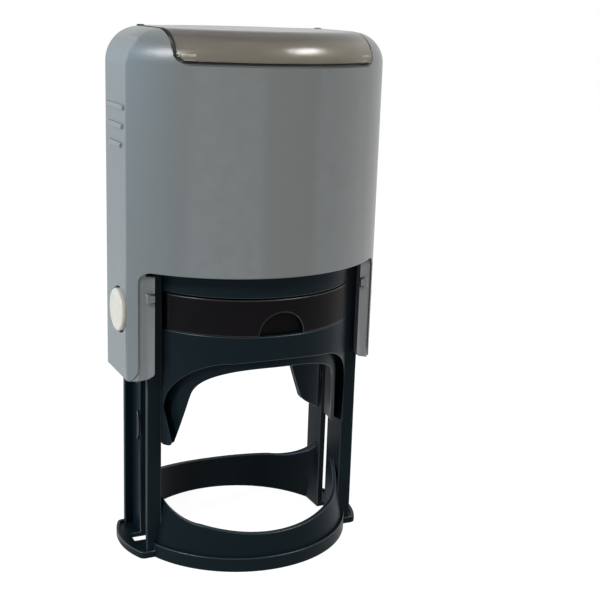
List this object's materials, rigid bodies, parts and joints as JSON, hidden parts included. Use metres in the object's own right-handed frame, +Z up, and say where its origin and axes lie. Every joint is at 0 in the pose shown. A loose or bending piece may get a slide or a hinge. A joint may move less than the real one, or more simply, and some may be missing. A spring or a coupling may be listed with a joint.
{
  "type": "self-inking notary stamp",
  "caption": "Press-down self-inking round stamp: a shell slides over a legged frame and turns the die over from its ink pad to the paper.",
  "frame": {"origin": "centre of the print ring, on the surface that the stamp stands on", "axes": "+X to the user's right, +Y away from the user, +Z up along the press"},
  "size_m": [0.0626, 0.0507, 0.1202],
  "materials": {
    "housing_plastic": "fine satin grain",
    "frame_plastic": "satin",
    "cartridge_plastic": "semi gloss",
    "pad_felt": "felt soaked with black ink",
    "carrier_plastic": "satin",
    "plate_plastic": "smooth",
    "cushion_foam": "closed cell foam",
    "die_rubber": "smooth moulded",
    "pin_steel": "ground",
    "cam_plastic": "smooth",
    "spring_steel": "drawn wire",
    "cap_clear": "smoky clear, polished",
    "card_paper": "plain card",
    "button_plastic": "smooth"
  },
  "bodies": {
    "frame": {"base_frame": "frame_plastic", "pad_housing": "frame_plastic", "ink_cartridge": "cartridge_plastic", "ink_pad": "pad_felt", "spring_post": "carrier_plastic", "return_spring": "spring_steel"},
    "housing": {"housing": "housing_plastic", "index_card": "card_paper", "button_spring_left": "spring_steel", "button_spring_right": "spring_steel"},
    "die": {"die_carrier": "carrier_plastic", "die_plate": "plate_plastic", "die_cushion": "cushion_foam", "rubber_die": "die_rubber", "pivot_pin_left": "pin_steel", "pivot_pin_right": "pin_steel", "flip_cam_left": "cam_plastic", "flip_cam_right": "cam_plastic"},
    "cap": {"window_cap": "cap_clear"},
    "left_button": {"lock_button_left": "button_plastic"},
    "right_button": {"lock_button_right": "button_plastic"}
  },
  "joints": [
    {"name": "press", "type": "slide", "parent": "frame", "child": "housing", "axis": [0, 0, -1], "range_m": [0, 0.0408], "stiffness_N_per_m": 450, "springref_m": -0.02, "deforming": ["return_spring"]},
    {"name": "die_flip", "type": "hinge", "parent": "housing", "child": "die", "pos_m": [0, 0, 0.0463], "axis": [1, 0, 0], "range_deg": [0, 180]},
    {"name": "window_lift", "type": "slide", "parent": "housing", "child": "cap", "axis": [0, 0, 1], "range_m": [0, 0.012]},
    {"name": "left_lock", "type": "slide", "parent": "housing", "child": "left_button", "axis": [1, 0, 0], "range_m": [0, 0.0012], "stiffness_N_per_m": 600, "springref_m": -0.002, "deforming": ["button_spring_left"]},
    {"name": "right_lock", "type": "slide", "parent": "housing", "child": "right_button", "axis": [-1, 0, 0], "range_m": [0, 0.0012], "stiffness_N_per_m": 600, "springref_m": -0.002, "deforming": ["button_spring_right"]}
  ],
  "couplings": [
    {"joint": "die_flip", "follows": "press", "rad_per_m": 76.99}
  ]
}
